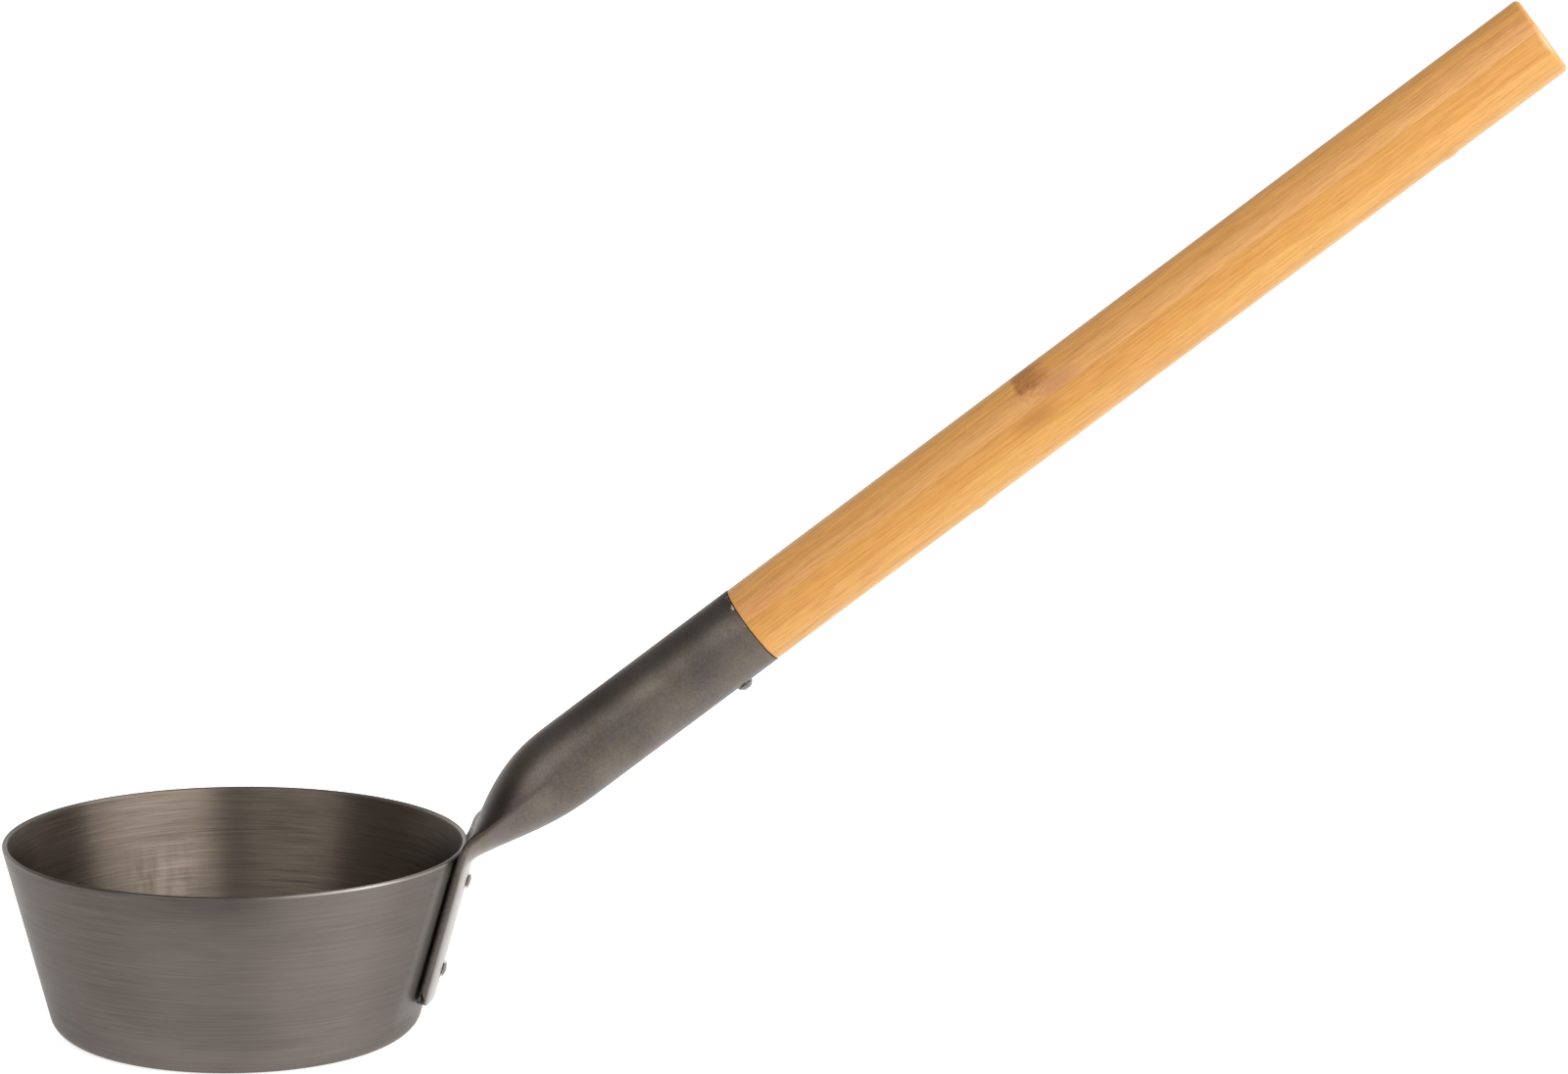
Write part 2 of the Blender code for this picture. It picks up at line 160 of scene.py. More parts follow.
def stretched_noise(tree, place, stretch, detail, roughness=0.5):
    """Noise drawn out along the axes of a place, as its cells in each metre."""
    drawn = vector_math(tree, "MULTIPLY", place, stretch)[0]
    noise = add_node(
        tree, "ShaderNodeTexNoise",
        {"Vector": drawn, "Scale": 1, "Detail": detail, "Roughness": roughness},
    )
    return noise.outputs["Fac"]


def ramp(tree, value, low, high, to_low=0.0, to_high=1.0):
    made = add_node(
        tree, "ShaderNodeMapRange",
        {"Value": value, "From Min": low, "From Max": high, "To Min": to_low, "To Max": to_high},
    )
    return made.outputs[0]


def near(tree, value, middle, edge, core):
    """1 within the core distance of a middle, falling to 0 at the edge distance."""
    apart = arithmetic(tree, "ABSOLUTE", arithmetic(tree, "SUBTRACT", value, middle))
    return ramp(tree, apart, edge, core)


def mix_values(tree, share, first, second):
    return add_node(tree, "ShaderNodeMix", {0: share, 2: first, 3: second}).outputs[0]


def mix_colour(tree, share, first, second, blend="MIX"):
    made = add_node(
        tree, "ShaderNodeMix", {0: share, 6: first, 7: second}, data_type="RGBA", blend_type=blend,
    )
    return made.outputs[2]


def new_group(name, inputs, outputs):
    """A shader node group with named sockets. Gives its tree and the outputs of its input node."""
    tree = bpy.data.node_groups.new(name, "ShaderNodeTree")
    for label, kind in inputs.items():
        tree.interface.new_socket(label, in_out="INPUT", socket_type=f"NodeSocket{kind}")
    for label, kind in outputs.items():
        tree.interface.new_socket(label, in_out="OUTPUT", socket_type=f"NodeSocket{kind}")
    return tree, tree.nodes.new("NodeGroupInput").outputs


def group_outputs(tree, values):
    add_node(tree, "NodeGroupOutput", values)


def new_material(name, **shader_values):
    """A Principled material. Gives the material, its tree and its shader."""
    made = bpy.data.materials.new(name)
    made.use_nodes = True
    shader = made.node_tree.nodes["Principled BSDF"]
    for label, value in shader_values.items():
        shader.inputs[label.replace("_", " ")].default_value = value
    return made, made.node_tree, shader


fine_cells = (55, 55, 2400)  # cells of noise in each metre, round the cup and across its lines
broad_cells = (30, 30, 900)
cloud_cells = (26, 26, 40)
broad_share = 0.18
brushed_lines, brushed_in = new_group(
    "brushed_lines", {"Place": "Vector"}, {"Lines": "Float", "Cloud": "Float"},
)
fine_lines = stretched_noise(brushed_lines, brushed_in["Place"], fine_cells, 4, 0.75)
broad_lines = stretched_noise(brushed_lines, brushed_in["Place"], broad_cells, 2)
all_lines = mix_values(brushed_lines, broad_share, fine_lines, broad_lines)
cloud = stretched_noise(brushed_lines, brushed_in["Place"], cloud_cells, 3)
group_outputs(brushed_lines, {"Lines": all_lines, "Cloud": cloud})

cup_dark = (0.092, 0.08, 0.073, 1)
cup_light = (0.178, 0.154, 0.1405, 1)
# painted tone: the inside is made warmer and a little darker, standing in for the warm light inside the cup
inside_painted_warmth = (0.96, 0.908, 0.81, 1)
cup_roughness = (0.47, 0.4)  # of dark and of light lines
line_depth = 0.03 * mm
rim_painted_shade = (0.7, 0.7, 0.7, 1)  # painted shade, a darker patch under the front of the rim
patch_height = (cup_height - 9 * mm, cup_height - 3 * mm)  # where it starts and where it is full
patch_across = (1 * mm, 24 * mm, 6 * mm)  # its middle, with the distances of its edge and core
patch_front = (-30 * mm, -45 * mm)
pale_runs = (1.55, 1.56, 1.58, 1)  # lighter streaks on the inside of the back wall
run_cells = (300, 300, 45)
run_across = (-27 * mm, 11 * mm, 2 * mm)
run_height = (25.5 * mm, 13 * mm, 3 * mm)
run_back = (20 * mm, 35 * mm)
lip_painted_highlight = (0.46, 0.43, 0.4, 1)  # painted highlight on the lip, on the right and less on the left
lip_highlight_right = (18 * mm, 55 * mm, 0.07, 1.0)  # start and end across, with the share painted at each
lip_highlight_left = (-35 * mm, -55 * mm, 0, 0.5)
tab_painted_shade = (0.06, 0.052, 0.044, 1)  # painted shade on the wall beside the tab
tab_shade_width = (0, 23.6 * mm, 21.2 * mm)
tab_shade_side = (20 * mm, 30 * mm)
tab_shade_foot = (6 * mm, 12 * mm)
tab_shade_top = (cup_height - 0.3 * mm, cup_height - 4 * mm)
tab_shade_cover = 0.9
cup_steel, tree, shader = new_material(
    "dark_brushed_steel", Anisotropic=0.8, Anisotropic_Rotation=0.25, Specular_Tint=(0.72, 0.72, 0.72, 1),
)
coordinates = add_node(tree, "ShaderNodeTexCoord").outputs
place = coordinates["Object"]
axes = add_node(tree, "ShaderNodeSeparateXYZ", {0: place}).outputs
level = vector_math(tree, "MULTIPLY", place, (1, 1, 0))[0]
across_lines = arithmetic(tree, "ADD", axes["Z"], vector_length(tree, level))
line_place = add_node(
    tree, "ShaderNodeCombineXYZ", {"X": axes["X"], "Y": axes["Y"], "Z": across_lines},
).outputs[0]
brushed = add_node(tree, "ShaderNodeGroup", node_tree=brushed_lines)
tree.links.new(line_place, brushed.inputs["Place"])
cup_drift = ramp(tree, brushed.outputs["Cloud"], 0.3, 0.7, -0.1, 0.1)
shade = arithmetic(tree, "ADD", brushed.outputs["Lines"], cup_drift)
outward = vector_math(tree, "NORMALIZE", level)[0]
facing_out = vector_math(tree, "DOT_PRODUCT", coordinates["Normal"], outward)["Value"]
inside = ramp(tree, facing_out, 0.3, 0.05)
outside = arithmetic(tree, "SUBTRACT", 1, inside)
faint_lines = ramp(tree, shade, 0.2, 0.8, 0.12, 0.88)
plain_lines = ramp(tree, shade, 0.31, 0.69)
line_share = mix_values(tree, inside, faint_lines, plain_lines)
under_rim = product(
    tree, outside, ramp(tree, axes["Z"], *patch_height), near(tree, axes["X"], *patch_across),
    ramp(tree, axes["Y"], *patch_front),
)
streaky = ramp(tree, stretched_noise(tree, place, run_cells, 2), 0.36, 0.64, 0.15, 1.0)
runs = product(
    tree, streaky, near(tree, axes["X"], *run_across), near(tree, axes["Z"], *run_height),
    ramp(tree, axes["Y"], *run_back), inside,
)
on_lip = ramp(tree, axes["Z"], cup_height - 1.2 * lip, cup_height - 0.4 * lip)
lip_highlight = arithmetic(tree, "MAXIMUM", ramp(tree, axes["X"], *lip_highlight_right), ramp(tree, axes["X"], *lip_highlight_left))
# painted shade on the wall beside the tab, less inside the cup; there the wall is also made less metal
by_tab = product(
    tree, near(tree, axes["Y"], *tab_shade_width), ramp(tree, axes["X"], *tab_shade_side),
    ramp(tree, axes["Z"], *tab_shade_foot), ramp(tree, axes["Z"], *tab_shade_top),
    ramp(tree, inside, 1, 0, 0, tab_shade_cover),
)
colour = mix_colour(tree, line_share, cup_dark, cup_light)
# painted tone on the inside, warmer and darker than the outside
colour = mix_colour(tree, inside, colour, inside_painted_warmth, "MULTIPLY")
# painted shade under the front of the rim
colour = mix_colour(tree, under_rim, colour, rim_painted_shade, "MULTIPLY")
colour = mix_colour(tree, runs, colour, pale_runs, "MULTIPLY")
# painted highlight on the lip
colour = mix_colour(tree, product(tree, on_lip, lip_highlight), colour, lip_painted_highlight)
tree.links.new(mix_colour(tree, by_tab, colour, tab_painted_shade), shader.inputs["Base Color"])
tree.links.new(arithmetic(tree, "SUBTRACT", 1, by_tab), shader.inputs["Metallic"])
tree.links.new(ramp(tree, shade, 0.3, 0.7, *cup_roughness), shader.inputs["Roughness"])
bump = add_node(
    tree, "ShaderNodeBump", {"Strength": 0.14, "Distance": line_depth, "Height": brushed.outputs["Lines"]},
)
tree.links.new(bump.outputs[0], shader.inputs["Normal"])
around = add_node(tree, "ShaderNodeTangent", direction_type="RADIAL", axis="Z")
tree.links.new(around.outputs[0], shader.inputs["Tangent"])
cup.data.materials.append(cup_steel)
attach(cup, "root")
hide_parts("cup")

# The socket is one steel tube. Its lower end is pressed flat to two layers, bent down and laid on the cup.
# The wall keeps its length, so the tube grows wider as it grows flatter, and has a fold at each side.
# The dark satin steel is rubbed on the outside of the tab, and a little chipped at the mouth. Painted shade
# darkens the tab's edge towards the cup and the pressed face above the fold.
tube_radius = 11 * mm
tube_wall = 1 * mm
tube_rise = math.radians(38.4)  # of the axis above the table
tube_reach = 90.1 * mm  # from the bend to the mouth
bend_above_rim = 4.1 * mm
tab_reach = 45.1 * mm  # from the bend to the pressed end
tab_corner = 4 * mm
tab_bow = 1.9 * mm  # by which the tab's edges are drawn in towards the cup
bow_fade = 6  # how soon the bow goes as the tube grows round
pressed_slit = 0.2 * mm
press_run = 31.4 * mm  # from the bend to where the tube is round again
notch_below_bend = 6.7 * mm
notch_radius = 3 * mm
underside_spread = math.radians(13)
fold_corner = 12 * mm
fold_ease = 0.05  # growth of the fold radius with the section's height
upper_face_run = 0.97  # shares of a face's reach that run straight
upper_tube_run = 0.48
underside_run = 0.45
under_tube_run = 0.4
seat_gap = 0.2 * mm
tube_edge = 0.15 * mm  # by which cut edges are eased
cut_turn = math.radians(50)  # edges that turn more than this are cut edges

half_steps = 56  # points along half a section
tab_rings = 16
notch_rings = 10
press_rings = 48
mouth_rings = 12
dense = 401  # points on a line that others are read from
halvings = 40

tab_half = tube_wall + pressed_slit / 2
along_tube = np.array([math.cos(tube_rise), math.sin(tube_rise)])
above_tube = np.array([-math.sin(tube_rise), math.cos(tube_rise)])
rim_point = np.array([wall_foot + cup_height * math.tan(wall_lean), cup_height])
bend = rim_point + up_wall * bend_above_rim + off_wall * (seat_gap + tab_half)
mouth = bend + along_tube * tube_reach


def smooth_curve(start, start_pull, end_pull, end, t):
    """Points of a cubic curve, as rows, for an array of parameters."""
    t = np.asarray(t)[:, None]
    first, second = start + start_pull, end - end_pull
    return (1 - t) ** 3 * start + 3 * t * (1 - t) ** 2 * first + 3 * t**2 * (1 - t) * second + t**3 * end


def rounded_corner(corner, arriving, leaving, radius, t):
    turn = math.acos(arriving @ leaving)
    back = radius * math.tan(turn / 2)
    pull = radius * 4 / 3 * math.tan(turn / 4)
    start, end = corner - arriving * back, corner + leaving * back
    return smooth_curve(start, arriving * pull, leaving * pull, end, t)


def lens_half(width, height, sharpness):
    """The upper half of a lens: a half ellipse at sharpness 1, a parabola with pointed tips at 2."""
    turn = np.linspace(0, math.pi, dense)
    return width * np.cos(turn), height * np.sin(turn) ** sharpness


def lens_length(width, height, sharpness):
    across, above = lens_half(width, height, sharpness)
    return np.hypot(np.diff(across), np.diff(above)).sum()


def pressed_half_width(top, bottom, fold, sharpness):
    """Half the width of a pressed section, whose wall keeps the length it had in the round tube."""
    wall_length = math.pi * (2 * tube_radius - tube_wall)
    lens = wall_length - 2 * math.pi * (fold - tube_wall / 2)
    low, high = 0.0, wall_length
    for _ in range(halvings):
        core = (low + high) / 2
        if lens_length(core, top - fold, sharpness) + lens_length(core, bottom - fold, sharpness) > lens:
            high = core
        else:
            low = core
    return core + fold


def half_section(width, height, fold, sharpness):
    """From one fold over the face to the other, with points spaced half by length and half by turning."""
    across, above = lens_half(width - fold, height - fold, sharpness)
    turn = np.arctan2(-np.gradient(across), np.gradient(above))
    near_fold = np.linspace(0, turn[0], dense, endpoint=False)
    far_fold = np.linspace(math.pi, turn[-1], dense, endpoint=False)[::-1]
    turn = np.concatenate([near_fold, turn, far_fold])
    across = np.pad(across, dense, mode="edge") + fold * np.cos(turn)
    above = np.pad(above, dense, mode="edge") + fold * np.sin(turn)
    length = np.concatenate([[0], np.cumsum(np.hypot(np.diff(across), np.diff(above)))])
    share = length / length[-1] / 2 + turn / math.pi / 2
    wanted = np.linspace(0, 1, half_steps + 1)
    return np.interp(wanted, share, across), np.interp(wanted, share, above)


def meet(line, top, bottom):
    """Where a line of points crosses the line through a section's top and bottom."""
    normal = np.array([-(top - bottom)[1], (top - bottom)[0]])
    side = (line - bottom) @ normal
    after = int(np.argmax(side[:-1] * side[1:] <= 0)) + 1
    share = side[after - 1] / (side[after - 1] - side[after])
    return line[after - 1] + share * (line[after] - line[after - 1])


def tube_ring(top, bottom, fold_line):
    """One section of the tube, from the far fold over the upper face to the near one and back below."""
    fold_point = meet(fold_line, top, bottom)
    upward, downward = top - fold_point, bottom - fold_point
    high, deep = np.linalg.norm(upward), np.linalg.norm(downward)
    least = min(high, deep) - tab_half
    roundness = min(max(least / (tube_radius - tab_half), 0), 1)
    fold, sharpness = tab_half + fold_ease * least, 2 - roundness**4
    width = pressed_half_width(high, deep, fold, sharpness)
    points = []
    for reach, direction, turn in ((high, upward / high, 1), (deep, downward / deep, -1)):
        across, above = half_section(width, reach, fold, sharpness)
        for side, rise in zip(across[:-1] * turn, above[:-1]):
            bow = tab_bow * (1 - roundness) ** bow_fade * (side / width) ** 2
            x, z = fold_point + direction * rise + upward / high * bow
            points.append((x, side, z))
    return np.array(points)


parts = np.linspace(0, 1, dense)
fold_bend = rounded_corner(bend, up_wall, along_tube, fold_corner, parts)
fold_line = np.vstack([bend - up_wall * 2 * tab_reach, fold_bend, bend + along_tube * 2 * tube_reach])
underside_rise = tube_rise - underside_spread
along_underside = np.array([math.cos(underside_rise), math.sin(underside_rise)])
notch = bend + off_wall * tab_half - up_wall * notch_below_bend
notch_parts = np.linspace(0, 1, notch_rings + 1)
notch_arc = rounded_corner(notch, up_wall, along_underside, notch_radius, notch_parts)
round_again = bend + along_tube * press_run
tube_top, tube_bottom = round_again + above_tube * tube_radius, round_again - above_tube * tube_radius
tab_top = notch_arc[0] - off_wall * 2 * tab_half
face_reach, tube_share = np.linalg.solve(np.column_stack([up_wall, along_tube]), tube_top - tab_top)
upper_pulls = up_wall * face_reach * upper_face_run, along_tube * tube_share * upper_tube_run
upper_line = smooth_curve(tab_top, *upper_pulls, tube_top, parts)
over_notch = parts[int(np.argmin(np.abs((upper_line - notch_arc[-1]) @ along_tube)))]
under_span = np.linalg.norm(tube_bottom - notch_arc[-1])
under_pulls = along_underside * under_span * underside_run, along_tube * under_span * under_tube_run
press_parts = np.linspace(0, 1, press_rings + 1)[1:]
upper_parts = [*notch_parts * over_notch, *over_notch + press_parts * (1 - over_notch)]
tops = smooth_curve(tab_top, *upper_pulls, tube_top, upper_parts)
bottoms = np.vstack([notch_arc, smooth_curve(notch_arc[-1], *under_pulls, tube_bottom, press_parts)])
pressed_rings = [tube_ring(top, bottom, fold_line) for top, bottom in zip(tops, bottoms)]

# The tab runs down from the notch, and the corners of its end are rounded off.
tab_width = pressed_rings[0][:, 1].max()
tab_length = (notch_arc[0] - bend) @ up_wall + tab_reach
in_corner = np.maximum(np.abs(pressed_rings[0][:, 1]) - (tab_width - tab_corner), 0)
tab_run = tab_length - tab_corner + np.sqrt(np.maximum(tab_corner**2 - in_corner**2, 0))
down_wall = np.array([-up_wall[0], 0, -up_wall[1]])
tab_shares = np.linspace(1, 0, tab_rings, endpoint=False)
tab_sections = [pressed_rings[0] + np.outer(tab_run * share, down_wall) for share in tab_shares]
to_mouth = np.array([along_tube[0], 0, along_tube[1]]) * (tube_reach - press_run)
mouth_shares = np.linspace(0, 1, mouth_rings + 1)[1:]
mouth_sections = [pressed_rings[-1] + to_mouth * share for share in mouth_shares]
sections = np.array(tab_sections + pressed_rings + mouth_sections)

bpy.ops.object.select_all(action="DESELECT")
bpy.ops.mesh.primitive_cylinder_add(vertices=2 * half_steps, radius=1, depth=1, end_fill_type="NOTHING")
tube = bpy.context.object
tube.name = "handle_tube"
bpy.ops.object.mode_set(mode="EDIT")
pick(tube, "edges", lambda edge: abs(edge.verts[0].co.z - edge.verts[1].co.z) > 0.5)
bpy.ops.mesh.subdivide(number_cuts=len(sections) - 2)
bpy.ops.object.mode_set(mode="OBJECT")
for point in tube.data.vertices:
    x, y, z = point.co
    ring = round((z + 0.5) * (len(sections) - 1))
    turn = round(math.atan2(y, x) / (2 * math.pi) * 2 * half_steps)
    point.co = sections[ring, turn % (2 * half_steps)]
apply_modifier(tube, "SOLIDIFY", thickness=tube_wall, offset=-1, use_even_offset=True)
apply_modifier(tube, "BEVEL", width=tube_edge, segments=2, limit_method="ANGLE", angle_limit=cut_turn)

grain_cells = (1500, 1500, 1500)
tone_cells = (70, 70, 70)
grain_depth = 0.02 * mm
satin_grain, satin_in = new_group("satin_grain", {"Place": "Vector"}, {"Grain": "Float", "Cloud": "Float"})
grain = stretched_noise(satin_grain, satin_in["Place"], grain_cells, 4, 0.75)
satin_cloud = stretched_noise(satin_grain, satin_in["Place"], tone_cells, 3)
group_outputs(satin_grain, {"Grain": grain, "Cloud": satin_cloud})


def satin_steel(name, dark, light, roughness):
    """Steel with a fine even grain and a slow drift of tone."""
    made, tree, shader = new_material(name, Metallic=1.0)
    place = add_node(tree, "ShaderNodeTexCoord").outputs["Object"]
    satin = add_node(tree, "ShaderNodeGroup", node_tree=satin_grain)
    tree.links.new(place, satin.inputs["Place"])
    drift = ramp(tree, satin.outputs["Cloud"], 0.3, 0.7, -0.2, 0.2)
    shade = arithmetic(tree, "ADD", satin.outputs["Grain"], drift)
    colour = mix_colour(tree, ramp(tree, shade, 0.2, 0.8), dark, light)
    tree.links.new(colour, shader.inputs["Base Color"])
    rough = ramp(tree, shade, 0.2, 0.8, roughness + 0.04, roughness - 0.04)
    tree.links.new(rough, shader.inputs["Roughness"])
    bump = add_node(
        tree, "ShaderNodeBump",
        {"Strength": 0.12, "Distance": grain_depth, "Height": satin.outputs["Grain"]},
    )
    tree.links.new(bump.outputs[0], shader.inputs["Normal"])
    return made, tree, shader


def distance_along(tree, place, point, direction):
    """How far a place lies from a point of the ladle's plane, along a direction in that plane."""
    dot = vector_math(tree, "DOT_PRODUCT", place, (direction[0], 0, direction[1]))["Value"]
    return arithmetic(tree, "SUBTRACT", dot, point @ direction)


tube_dark = (0.09, 0.078, 0.069, 1)
tube_light = (0.155, 0.1345, 0.1186, 1)
tube_roughness = 0.43
warm_tint = (1.03, 1.01, 0.94, 1)
cool_tint = (0.99, 0.98, 1.03, 1)
tint_cells = (110, 110, 110)
tab_start = (cup_height + 3 * mm, cup_height - 4 * mm)  # where the tab's own tones start and are full
fold_painted_shade = (0.052, 0.045, 0.039, 1)  # painted shade on the tab's edge, towards the cup
fold_shade_off = (1.1 * mm, -0.7 * mm)  # how far off the cup's wall it starts and is full
fold_roughness = 0.5
speckle_cells = (900, 900, 900)
rubbed_steel = (0.125, 0.108, 0.095, 1)  # the tab's outer face
rubbed_off = (0.5 * mm, 1.5 * mm)
rubbed_roughness = 0.22
pressed_painted_shade = (0.55, 0.52, 0.5, 1)  # painted shade on the pressed face above the fold
pressed_above = (-0.3 * mm, 0.6 * mm)
pressed_reach = (27 * mm, 13 * mm)
chip_bright = (0.62, 0.6, 0.57, 1)  # on the upper half of the mouth's edge
chip_cells = (520, 520, 520)
chip_above = (2 * mm, 4 * mm)
chip_reach = (-0.9 * mm, -0.4 * mm)
tube_steel, tree, shader = satin_steel("dark_satin_steel", tube_dark, tube_light, tube_roughness)
place = add_node(tree, "ShaderNodeTexCoord").outputs["Object"]
axes = add_node(tree, "ShaderNodeSeparateXYZ", {0: place}).outputs
tints = ramp(tree, stretched_noise(tree, place, tint_cells, 3, 0.6), 0.35, 0.65)
off_cup = distance_along(tree, place, rim_point, off_wall)
on_tab = ramp(tree, axes["Z"], *tab_start)
speckles = ramp(tree, stretched_noise(tree, place, speckle_cells, 3), 0.3, 0.6, 0.55, 1.0)
# painted shade, speckled, where the tab's fold rolls in towards the cup
in_fold = product(tree, ramp(tree, off_cup, *fold_shade_off), on_tab, speckles)
on_face = product(tree, ramp(tree, off_cup, *rubbed_off), on_tab)
above_fold = ramp(tree, distance_along(tree, place, bend, above_tube), *pressed_above)
near_bend = ramp(tree, distance_along(tree, place, bend, along_tube), *pressed_reach)
chips = ramp(tree, stretched_noise(tree, place, chip_cells, 2), 0.58, 0.62)
above_middle = ramp(tree, distance_along(tree, place, mouth, above_tube), *chip_above)
at_mouth = ramp(tree, distance_along(tree, place, mouth, along_tube), *chip_reach)
chips = product(tree, chips, above_middle, at_mouth)
colour = shader.inputs["Base Color"].links[0].from_socket
colour = mix_colour(tree, 1.0, colour, mix_colour(tree, tints, warm_tint, cool_tint), "MULTIPLY")
# painted shade on the pressed face above the fold, near the bend
colour = mix_colour(tree, product(tree, above_fold, near_bend), colour, pressed_painted_shade, "MULTIPLY")
colour = mix_colour(tree, on_face, colour, rubbed_steel)
colour = mix_colour(tree, in_fold, colour, fold_painted_shade)
tree.links.new(mix_colour(tree, chips, colour, chip_bright), shader.inputs["Base Color"])
rough = shader.inputs["Roughness"].links[0].from_socket
rough = mix_values(tree, on_face, rough, rubbed_roughness)
tree.links.new(mix_values(tree, in_fold, rough, fold_roughness), shader.inputs["Roughness"])
tube.data.materials.append(tube_steel)
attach(tube, "root")
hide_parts("handle_socket")

# Two solid steel rivets hold the tab to the cup's wall. Each has a low domed head on the tab and a wider
# one inside the cup, and its shank fills a hole that is drilled through the tab and the wall together.
rivet_shank = 3 * mm
rivet_head = 4.8 * mm
rivet_dome = 0.8 * mm
inner_head = 6 * mm
inner_dome = 1 * mm
upper_rivet = 9.4 * mm  # below the rim, along the wall
rivet_pitch = 24.6 * mm
bore_gap = 0.2 * mm
rivet_sides = 48
dome_rings = 64
dome_steps = 10
dome_tip = 0.06  # share of the inner dome's run that is left flat
exact = 1e-4 * mm  # a cut keeps to its plane unless a point is nearer than this
straight_down = -0.99  # a face whose normal's Z is below this faces down
rivet_dark = (0.13, 0.118, 0.108, 1)
rivet_light = (0.22, 0.2, 0.185, 1)
rivet_roughness = 0.28

outer_seat = 2 * tab_half + 2 * seat_gap
inner_seat = -cup_sheet - seat_gap - inner_head**2 / 8 / wall_foot


def ball_radius(width, height):
    """The radius of the ball that a domed head of this width and height is cut from."""
    return ((width / 2) ** 2 + height**2) / (2 * height)


def domed_head(name, width, height, base, shank_width, sides, rings):
    """A cap cut from a ball, with the face under it drawn in to the shank. Leaves that face selected."""
    ball = ball_radius(width, height)
    bpy.ops.object.select_all(action="DESELECT")
    bpy.ops.mesh.primitive_uv_sphere_add(
        segments=sides, ring_count=rings, radius=ball, location=(0, 0, base + height - ball),
    )
    piece = bpy.context.object
    piece.name = name
    bpy.ops.object.transform_apply()
    bpy.ops.object.mode_set(mode="EDIT")
    bpy.ops.mesh.select_all(action="SELECT")
    bpy.ops.mesh.bisect(
        plane_co=(0, 0, base), plane_no=(0, 0, 1), use_fill=True, clear_inner=True, threshold=exact,
    )
    pick(piece, "faces", lambda face: face.normal.z < straight_down)
    bpy.ops.mesh.inset(thickness=(width - shank_width) / 2)
    return piece


def extrude_to(depth, widen, height):
    """Pulls the selected face along Z, then widens it about the axis. Height is where it ends."""
    bpy.ops.mesh.extrude_region_move(TRANSFORM_OT_translate={"value": (0, 0, depth)})
    bpy.ops.transform.resize(value=(widen, widen, 1), center_override=(0, 0, height))


def seat(piece, point, x_axis, z_axis):
    """Turns a piece modelled about the origin to its place in the ladle's plane, kept in its mesh."""
    x = Vector((x_axis[0], 0, x_axis[1]))
    z = Vector((z_axis[0], 0, z_axis[1]))
    turned = Matrix((x, z.cross(x), z)).transposed().to_4x4()
    piece.matrix_world = Matrix.Translation((point[0], 0, point[1])) @ turned
    select_only(piece)
    bpy.ops.object.transform_apply()


def drill(pieces, width, low, high, point, x_axis, z_axis):
    """Bores one round hole through some pieces."""
    bpy.ops.object.select_all(action="DESELECT")
    bpy.ops.mesh.primitive_cylinder_add(
        vertices=rivet_sides, radius=width / 2, depth=high - low, location=(0, 0, (low + high) / 2),
        rotation=(0, 0, math.pi / rivet_sides),
    )
    bit = bpy.context.object
    bpy.ops.object.transform_apply()
    seat(bit, point, x_axis, z_axis)
    for piece in pieces:
        apply_modifier(piece, "BOOLEAN", operation="DIFFERENCE", object=bit)
    bpy.data.objects.remove(bit)


rivet = domed_head("cup_rivet", rivet_head, rivet_dome, outer_seat, rivet_shank, rivet_sides, dome_rings)
extrude_to(inner_seat - outer_seat, 1, inner_seat)
extrude_to(0, inner_head / rivet_shank, inner_seat)
inner_ball = ball_radius(inner_head, inner_dome)
dome_heights = inner_dome * (1 - np.linspace(1, dome_tip, dome_steps + 1) ** 2)
dome_widths = np.sqrt(inner_ball**2 - (inner_ball - inner_dome + dome_heights) ** 2)
for lower, upper, width, next_width in zip(dome_heights, dome_heights[1:], dome_widths, dome_widths[1:]):
    extrude_to(lower - upper, next_width / width, inner_seat - upper)
bpy.ops.object.mode_set(mode="OBJECT")

rivet_steel = satin_steel("rivet_steel", rivet_dark, rivet_light, rivet_roughness)[0]
rivet.data.materials.append(rivet_steel)
rivet_hole = (rivet_shank + 2 * bore_gap, 2 * inner_seat, 2 * outer_seat)
for name, down_from_rim in (("upper", upper_rivet), ("lower", upper_rivet + rivet_pitch)):
    select_only(rivet)
    bpy.ops.object.duplicate()
    copy = bpy.context.object
    copy.name = f"rivet_{name}"
    on_wall = rim_point - up_wall * down_from_rim
    seat(copy, on_wall, up_wall, off_wall)
    bpy.ops.object.shade_smooth_by_angle(angle=crease)
    drill([cup, tube], *rivet_hole, on_wall, up_wall, off_wall)
    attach(copy, "root")
    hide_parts(f"cup_rivet_{name}")
bpy.data.objects.remove(rivet)
select_only(cup)
bpy.ops.object.shade_smooth_by_angle(angle=crease)

# The grip is five bamboo strips, glued in a stack and turned round as one, with a tenon inside the tube.
# The strips run the whole length and differ in tone, partly their own tone and partly painted light: the
# upper strips are made lighter and the bottom strip darker. Where one crosses a joint of the cane, it has a
# brown mark, and two joints stand out of the bottom strip as low ridges. The rounded end has a painted
# highlight at its sides.
grip_radius = tube_radius - 0.1 * mm
grip_length = 249 * mm  # outside the tube, on the axis
tenon_length = 45 * mm
tenon_radius = tube_radius - tube_wall - bore_gap
grip_end_radius = 1.4 * mm
grip_end_skew = math.radians(4.8)  # sawn a little out of square, shorter on the near side
shoulder_chamfer = 0.3 * mm
strip_thickness = 5.4 * mm
glue_film = 0.02 * mm
grip_sides = 180
grip_end_steps = 8
ridge_height = 0.3 * mm  # of the cane's joints that stand out on the bottom strip
ridge_reach = 1.6 * mm
ridge_rings = 9

